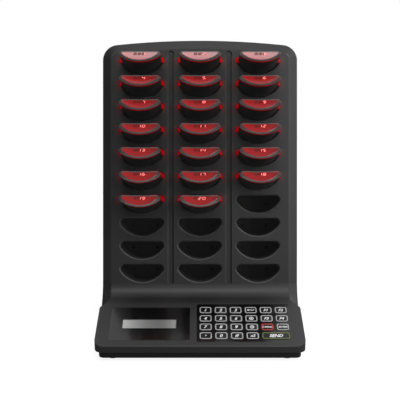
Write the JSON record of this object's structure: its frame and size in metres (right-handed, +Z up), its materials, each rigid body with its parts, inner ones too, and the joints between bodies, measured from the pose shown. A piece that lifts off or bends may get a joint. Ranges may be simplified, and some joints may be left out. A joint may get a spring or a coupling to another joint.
{
  "type": "guest pager system",
  "caption": "Leaning charging tower of D-shaped pockets holding restaurant guest pagers, on a sloping deck with a display and a numeric keypad.",
  "frame": {"origin": "middle of the whole box at the surface the feet stand on", "axes": "+X to the right seen from the front, +Y from the deck's front edge to the rear cover, +Z up"},
  "size_m": [0.2148, 0.206, 0.3131],
  "materials": {
    "housing": "black ABS with a fine spark texture",
    "base": "plain black moulded ABS",
    "cup": "black moulded ABS",
    "contact": "gold-plated spring contact",
    "board": "green solder mask on glass laminate",
    "rubber": "soft black rubber",
    "gloss_panel": "glossy black acrylic panel",
    "clear_window": "clear acrylic window",
    "lcd": "grey reflective LCD glass in a black frame",
    "screw": "blackened steel",
    "inlet": "black moulded jack",
    "pager": "black ABS case with a translucent red lens",
    "key": "black key with a printed light outline"
  },
  "bodies": {
    "dock": {"front_housing": "housing", "rear_cover": "housing", "bottom_cover": "base", "charging_cups": "cup", "charging_contacts": "contact", "charging_board": "board", "main_board": "board", "transmitter_board": "board", "dome_mat": "rubber", "keypad_bezel": "gloss_panel", "display_bezel": "gloss_panel", "display_window": "clear_window", "lcd_module": "lcd", "rubber_feet": "rubber", "case_screws": "screw", "dc_inlet": "inlet"},
    "pager_01": {"pager_01": "pager"},
    "pager_02": {"pager_02": "pager"},
    "pager_03": {"pager_03": "pager"},
    "pager_04": {"pager_04": "pager"},
    "pager_05": {"pager_05": "pager"},
    "pager_06": {"pager_06": "pager"},
    "pager_07": {"pager_07": "pager"},
    "pager_08": {"pager_08": "pager"},
    "pager_09": {"pager_09": "pager"},
    "pager_10": {"pager_10": "pager"},
    "pager_11": {"pager_11": "pager"},
    "pager_12": {"pager_12": "pager"},
    "pager_13": {"pager_13": "pager"},
    "pager_14": {"pager_14": "pager"},
    "pager_15": {"pager_15": "pager"},
    "pager_16": {"pager_16": "pager"},
    "pager_17": {"pager_17": "pager"},
    "pager_18": {"pager_18": "pager"},
    "pager_19": {"pager_19": "pager"},
    "pager_20": {"pager_20": "pager"},
    "key_1": {"key_1": "key"},
    "key_2": {"key_2": "key"},
    "key_3": {"key_3": "key"},
    "key_setup": {"key_setup": "key"},
    "key_f1": {"key_f1": "key"},
    "key_f2": {"key_f2": "key"},
    "key_4": {"key_4": "key"},
    "key_5": {"key_5": "key"},
    "key_6": {"key_6": "key"},
    "key_up": {"key_up": "key"},
    "key_f3": {"key_f3": "key"},
    "key_f4": {"key_f4": "key"},
    "key_7": {"key_7": "key"},
    "key_8": {"key_8": "key"},
    "key_9": {"key_9": "key"},
    "key_down": {"key_down": "key"},
    "key_cancel": {"key_cancel": "key"},
    "key_enter": {"key_enter": "key"},
    "key_star": {"key_star": "key"},
    "key_0": {"key_0": "key"},
    "key_hash": {"key_hash": "key"},
    "key_repeat": {"key_repeat": "key"},
    "key_send": {"key_send": "key"}
  },
  "joints": [
    {"name": "pager_01_lift", "type": "slide", "parent": "dock", "child": "pager_01", "axis": [0, -0.9659, 0.2588], "range_m": [0, 0.06]},
    {"name": "pager_02_lift", "type": "slide", "parent": "dock", "child": "pager_02", "axis": [0, -0.9659, 0.2588], "range_m": [0, 0.06]},
    {"name": "pager_03_lift", "type": "slide", "parent": "dock", "child": "pager_03", "axis": [0, -0.9659, 0.2588], "range_m": [0, 0.06]},
    {"name": "pager_04_lift", "type": "slide", "parent": "dock", "child": "pager_04", "axis": [0, -0.9659, 0.2588], "range_m": [0, 0.06]},
    {"name": "pager_05_lift", "type": "slide", "parent": "dock", "child": "pager_05", "axis": [0, -0.9659, 0.2588], "range_m": [0, 0.06]},
    {"name": "pager_06_lift", "type": "slide", "parent": "dock", "child": "pager_06", "axis": [0, -0.9659, 0.2588], "range_m": [0, 0.06]},
    {"name": "pager_07_lift", "type": "slide", "parent": "dock", "child": "pager_07", "axis": [0, -0.9659, 0.2588], "range_m": [0, 0.06]},
    {"name": "pager_08_lift", "type": "slide", "parent": "dock", "child": "pager_08", "axis": [0, -0.9659, 0.2588], "range_m": [0, 0.06]},
    {"name": "pager_09_lift", "type": "slide", "parent": "dock", "child": "pager_09", "axis": [0, -0.9659, 0.2588], "range_m": [0, 0.06]},
    {"name": "pager_10_lift", "type": "slide", "parent": "dock", "child": "pager_10", "axis": [0, -0.9659, 0.2588], "range_m": [0, 0.06]},
    {"name": "pager_11_lift", "type": "slide", "parent": "dock", "child": "pager_11", "axis": [0, -0.9659, 0.2588], "range_m": [0, 0.06]},
    {"name": "pager_12_lift", "type": "slide", "parent": "dock", "child": "pager_12", "axis": [0, -0.9659, 0.2588], "range_m": [0, 0.06]},
    {"name": "pager_13_lift", "type": "slide", "parent": "dock", "child": "pager_13", "axis": [0, -0.9659, 0.2588], "range_m": [0, 0.06]},
    {"name": "pager_14_lift", "type": "slide", "parent": "dock", "child": "pager_14", "axis": [0, -0.9659, 0.2588], "range_m": [0, 0.06]},
    {"name": "pager_15_lift", "type": "slide", "parent": "dock", "child": "pager_15", "axis": [0, -0.9659, 0.2588], "range_m": [0, 0.06]},
    {"name": "pager_16_lift", "type": "slide", "parent": "dock", "child": "pager_16", "axis": [0, -0.9659, 0.2588], "range_m": [0, 0.06]},
    {"name": "pager_17_lift", "type": "slide", "parent": "dock", "child": "pager_17", "axis": [0, -0.9659, 0.2588], "range_m": [0, 0.06]},
    {"name": "pager_18_lift", "type": "slide", "parent": "dock", "child": "pager_18", "axis": [0, -0.9659, 0.2588], "range_m": [0, 0.06]},
    {"name": "pager_19_lift", "type": "slide", "parent": "dock", "child": "pager_19", "axis": [0, -0.9659, 0.2588], "range_m": [0, 0.06]},
    {"name": "pager_20_lift", "type": "slide", "parent": "dock", "child": "pager_20", "axis": [0, -0.9659, 0.2588], "range_m": [0, 0.06]},
    {"name": "key_1_press", "type": "slide", "parent": "dock", "child": "key_1", "axis": [0, 0.3371, -0.9415], "range_m": [0, 0.0004], "stiffness_N_per_m": 500, "springref_m": -0.0006},
    {"name": "key_2_press", "type": "slide", "parent": "dock", "child": "key_2", "axis": [0, 0.3371, -0.9415], "range_m": [0, 0.0004], "stiffness_N_per_m": 500, "springref_m": -0.0006},
    {"name": "key_3_press", "type": "slide", "parent": "dock", "child": "key_3", "axis": [0, 0.3371, -0.9415], "range_m": [0, 0.0004], "stiffness_N_per_m": 500, "springref_m": -0.0006},
    {"name": "key_setup_press", "type": "slide", "parent": "dock", "child": "key_setup", "axis": [0, 0.3371, -0.9415], "range_m": [0, 0.0004], "stiffness_N_per_m": 500, "springref_m": -0.0006},
    {"name": "key_f1_press", "type": "slide", "parent": "dock", "child": "key_f1", "axis": [0, 0.3371, -0.9415], "range_m": [0, 0.0004], "stiffness_N_per_m": 500, "springref_m": -0.0006},
    {"name": "key_f2_press", "type": "slide", "parent": "dock", "child": "key_f2", "axis": [0, 0.3371, -0.9415], "range_m": [0, 0.0004], "stiffness_N_per_m": 500, "springref_m": -0.0006},
    {"name": "key_4_press", "type": "slide", "parent": "dock", "child": "key_4", "axis": [0, 0.3371, -0.9415], "range_m": [0, 0.0004], "stiffness_N_per_m": 500, "springref_m": -0.0006},
    {"name": "key_5_press", "type": "slide", "parent": "dock", "child": "key_5", "axis": [0, 0.3371, -0.9415], "range_m": [0, 0.0004], "stiffness_N_per_m": 500, "springref_m": -0.0006},
    {"name": "key_6_press", "type": "slide", "parent": "dock", "child": "key_6", "axis": [0, 0.3371, -0.9415], "range_m": [0, 0.0004], "stiffness_N_per_m": 500, "springref_m": -0.0006},
    {"name": "key_up_press", "type": "slide", "parent": "dock", "child": "key_up", "axis": [0, 0.3371, -0.9415], "range_m": [0, 0.0004], "stiffness_N_per_m": 500, "springref_m": -0.0006},
    {"name": "key_f3_press", "type": "slide", "parent": "dock", "child": "key_f3", "axis": [0, 0.3371, -0.9415], "range_m": [0, 0.0004], "stiffness_N_per_m": 500, "springref_m": -0.0006},
    {"name": "key_f4_press", "type": "slide", "parent": "dock", "child": "key_f4", "axis": [0, 0.3371, -0.9415], "range_m": [0, 0.0004], "stiffness_N_per_m": 500, "springref_m": -0.0006},
    {"name": "key_7_press", "type": "slide", "parent": "dock", "child": "key_7", "axis": [0, 0.3371, -0.9415], "range_m": [0, 0.0004], "stiffness_N_per_m": 500, "springref_m": -0.0006},
    {"name": "key_8_press", "type": "slide", "parent": "dock", "child": "key_8", "axis": [0, 0.3371, -0.9415], "range_m": [0, 0.0004], "stiffness_N_per_m": 500, "springref_m": -0.0006},
    {"name": "key_9_press", "type": "slide", "parent": "dock", "child": "key_9", "axis": [0, 0.3371, -0.9415], "range_m": [0, 0.0004], "stiffness_N_per_m": 500, "springref_m": -0.0006},
    {"name": "key_down_press", "type": "slide", "parent": "dock", "child": "key_down", "axis": [0, 0.3371, -0.9415], "range_m": [0, 0.0004], "stiffness_N_per_m": 500, "springref_m": -0.0006},
    {"name": "key_cancel_press", "type": "slide", "parent": "dock", "child": "key_cancel", "axis": [0, 0.3371, -0.9415], "range_m": [0, 0.0004], "stiffness_N_per_m": 500, "springref_m": -0.0006},
    {"name": "key_enter_press", "type": "slide", "parent": "dock", "child": "key_enter", "axis": [0, 0.3371, -0.9415], "range_m": [0, 0.0004], "stiffness_N_per_m": 500, "springref_m": -0.0006},
    {"name": "key_star_press", "type": "slide", "parent": "dock", "child": "key_star", "axis": [0, 0.3371, -0.9415], "range_m": [0, 0.0004], "stiffness_N_per_m": 500, "springref_m": -0.0006},
    {"name": "key_0_press", "type": "slide", "parent": "dock", "child": "key_0", "axis": [0, 0.3371, -0.9415], "range_m": [0, 0.0004], "stiffness_N_per_m": 500, "springref_m": -0.0006},
    {"name": "key_hash_press", "type": "slide", "parent": "dock", "child": "key_hash", "axis": [0, 0.3371, -0.9415], "range_m": [0, 0.0004], "stiffness_N_per_m": 500, "springref_m": -0.0006},
    {"name": "key_repeat_press", "type": "slide", "parent": "dock", "child": "key_repeat", "axis": [0, 0.3371, -0.9415], "range_m": [0, 0.0004], "stiffness_N_per_m": 500, "springref_m": -0.0006},
    {"name": "key_send_press", "type": "slide", "parent": "dock", "child": "key_send", "axis": [0, 0.3371, -0.9415], "range_m": [0, 0.0004], "stiffness_N_per_m": 500, "springref_m": -0.0006}
  ]
}
